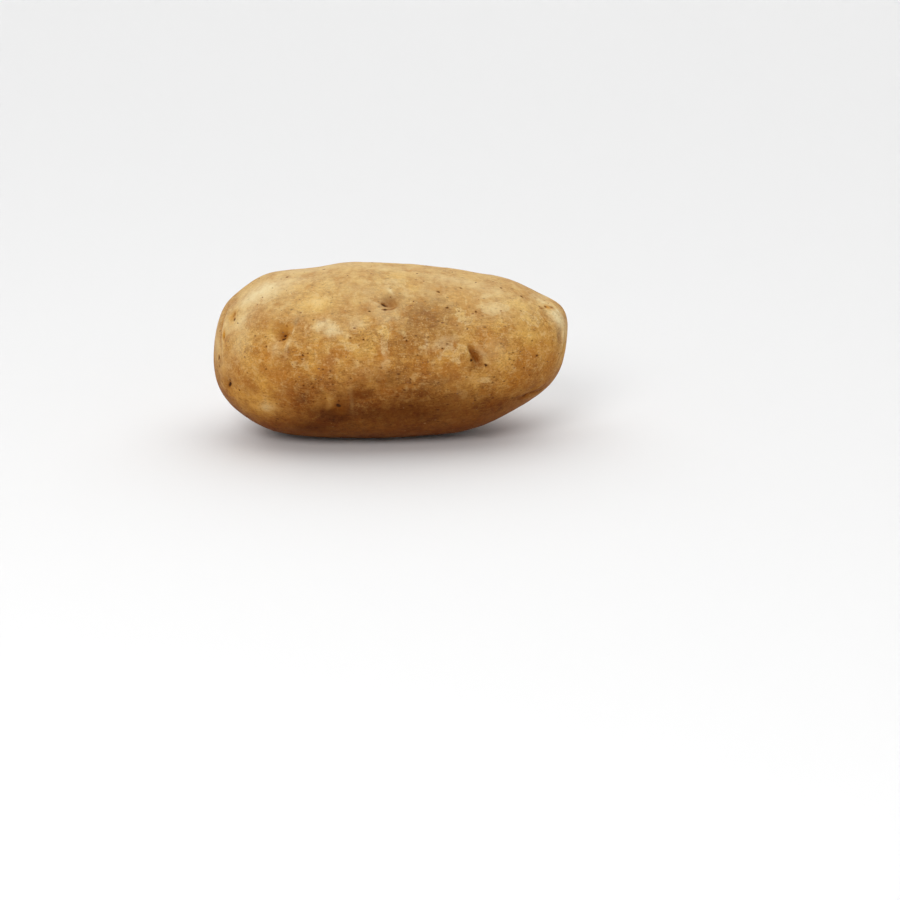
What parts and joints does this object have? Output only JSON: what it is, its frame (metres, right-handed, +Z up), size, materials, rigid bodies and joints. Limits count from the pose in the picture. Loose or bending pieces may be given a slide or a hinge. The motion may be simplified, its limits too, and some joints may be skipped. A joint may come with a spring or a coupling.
{
  "type": "potato",
  "caption": "Whole russet potato: long blunt oval tuber with shallow eyes and netted brown skin, lying on a small flat spot.",
  "frame": {"origin": "centre of the bounding box on the plane that the potato lies on", "axes": "+X along the potato's length towards the stem end, +Y towards its back, +Z up; the side facing -Y is the front"},
  "size_m": [0.128, 0.07, 0.0628],
  "materials": {
    "skin": "matte"
  },
  "bodies": {
    "root": {"potato": "skin"}
  },
  "joints": []
}
